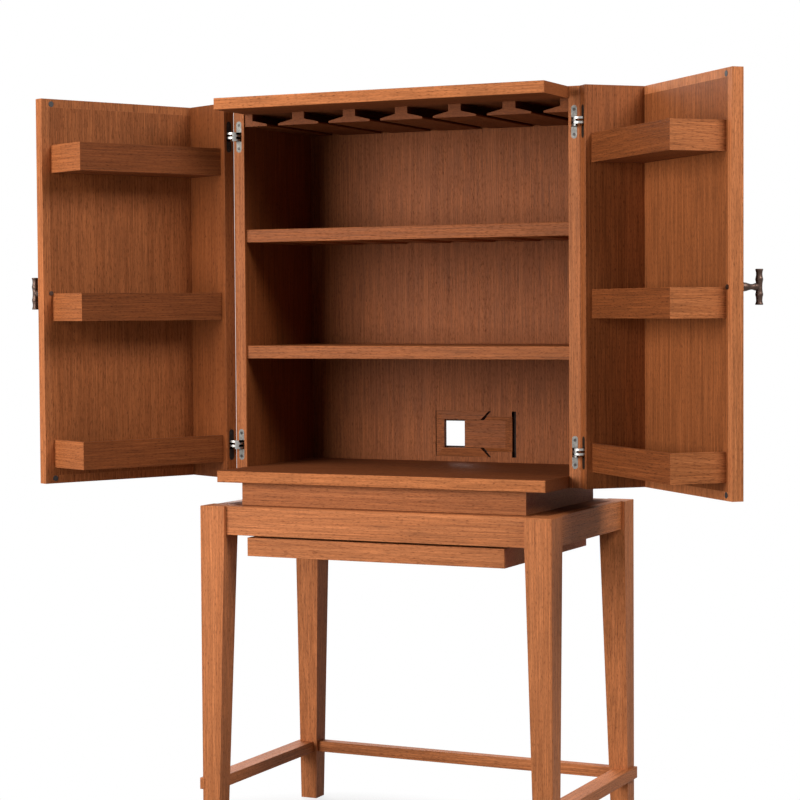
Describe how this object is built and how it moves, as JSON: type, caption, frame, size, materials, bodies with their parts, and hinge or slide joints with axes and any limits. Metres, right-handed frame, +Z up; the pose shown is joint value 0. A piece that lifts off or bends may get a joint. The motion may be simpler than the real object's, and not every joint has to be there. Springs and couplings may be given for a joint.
{
  "type": "bar cabinet",
  "caption": "Bar cabinet on a tall tapered stand, with shelved doors on concealed hinges, a stemware rack, fixed shelves and a pull-out serving shelf.",
  "frame": {"origin": "middle of the stand's footprint, on the floor", "axes": "+X to the viewer's right, +Y to the back, +Z up"},
  "size_m": [1.625, 0.6824, 1.632],
  "materials": {
    "oak_upright": "satin, open pored, grain upright",
    "oak_across": "satin, open pored, grain across",
    "oak_lengthwise": "satin, open pored, grain front to back",
    "hinge_nickel": "satin nickel",
    "handle_bronze": "antique bronze, satin",
    "button_black": "black, matt"
  },
  "bodies": {
    "cabinet": {"apron_front": "oak_across", "apron_left": "oak_lengthwise", "apron_rear": "oak_across", "apron_right": "oak_lengthwise", "case_back": "oak_upright", "case_bottom": "oak_across", "case_side_left": "oak_upright", "case_side_right": "oak_upright", "case_top": "oak_across", "hinge_leaves_case_left": "hinge_nickel", "hinge_leaves_case_right": "hinge_nickel", "leg_front_left": "oak_upright", "leg_front_right": "oak_upright", "leg_rear_left": "oak_upright", "leg_rear_right": "oak_upright", "outlet_frame": "oak_across", "plinth": "oak_across", "rack_rail_1": "oak_lengthwise", "rack_rail_2": "oak_lengthwise", "rack_rail_3": "oak_lengthwise", "rack_rail_4": "oak_lengthwise", "rack_rail_5": "oak_lengthwise", "rack_rail_left": "oak_lengthwise", "rack_rail_right": "oak_lengthwise", "shelf_lower": "oak_across", "shelf_runners": "oak_lengthwise", "shelf_upper": "oak_across", "stand_top": "oak_across", "stretcher_left": "oak_lengthwise", "stretcher_rear": "oak_across", "stretcher_right": "oak_lengthwise"},
    "left_door": {"door_buttons_left": "button_black", "door_front_left": "oak_upright", "door_lippings_left": "oak_across", "door_side_left": "oak_upright", "handle_bolt_left": "handle_bronze", "handle_left": "handle_bronze", "hinge_leaves_door_left": "hinge_nickel", "tray_left_bottom": "oak_across", "tray_left_middle": "oak_across", "tray_left_top": "oak_across"},
    "right_door": {"door_buttons_right": "button_black", "door_front_right": "oak_upright", "door_lippings_right": "oak_across", "door_side_right": "oak_upright", "handle_bolt_right": "handle_bronze", "handle_right": "handle_bronze", "hinge_leaves_door_right": "hinge_nickel", "tray_right_bottom": "oak_across", "tray_right_middle": "oak_across", "tray_right_top": "oak_across"},
    "left_case_links": {"hinge_links_case_left": "hinge_nickel"},
    "right_case_links": {"hinge_links_case_right": "hinge_nickel"},
    "left_door_links": {"hinge_links_door_left": "hinge_nickel"},
    "right_door_links": {"hinge_links_door_right": "hinge_nickel"},
    "outlet_plate": {"outlet_slide": "oak_across"},
    "serving_shelf": {"pull_out_shelf": "oak_across", "shelf_cleats": "oak_lengthwise"}
  },
  "joints": [
    {"name": "left_door_hinge", "type": "hinge", "parent": "cabinet", "child": "left_door", "pos_m": [-0.4152, -0.0847, 1.211], "axis": [0, 0, 1], "range_deg": [-64.4, 115.6]},
    {"name": "right_door_hinge", "type": "hinge", "parent": "cabinet", "child": "right_door", "pos_m": [0.4152, -0.0847, 1.211], "axis": [0, 0, 1], "range_deg": [-134.8, 45.2]},
    {"name": "left_case_link_swing", "type": "hinge", "parent": "cabinet", "child": "left_case_links", "pos_m": [-0.4152, -0.0847, 1.211], "axis": [0, 0, 1], "range_deg": [-22, 39]},
    {"name": "right_case_link_swing", "type": "hinge", "parent": "cabinet", "child": "right_case_links", "pos_m": [0.4152, -0.0847, 1.211], "axis": [0, 0, 1], "range_deg": [-45.5, 15.5]},
    {"name": "left_door_link_swing", "type": "hinge", "parent": "left_door", "child": "left_door_links", "pos_m": [-0.4152, -0.0847, 1.211], "axis": [0, 0, 1], "range_deg": [-39, 22]},
    {"name": "right_door_link_swing", "type": "hinge", "parent": "right_door", "child": "right_door_links", "pos_m": [0.4152, -0.0847, 1.211], "axis": [0, 0, 1], "range_deg": [-15.5, 45.5]},
    {"name": "serving_shelf_slide", "type": "slide", "parent": "cabinet", "child": "serving_shelf", "axis": [0, -1, 0], "range_m": [0, 0.3]},
    {"name": "outlet_plate_slide", "type": "slide", "parent": "cabinet", "child": "outlet_plate", "axis": [1, 0, 0], "range_m": [-0.007, 0.0105]}
  ],
  "couplings": [
    {"joint": "left_case_link_swing", "follows": "left_door_hinge", "ratio": 0.33333},
    {"joint": "right_case_link_swing", "follows": "right_door_hinge", "ratio": 0.33333},
    {"joint": "left_door_link_swing", "follows": "left_door_hinge", "ratio": -0.33333},
    {"joint": "right_door_link_swing", "follows": "right_door_hinge", "ratio": -0.33333}
  ]
}
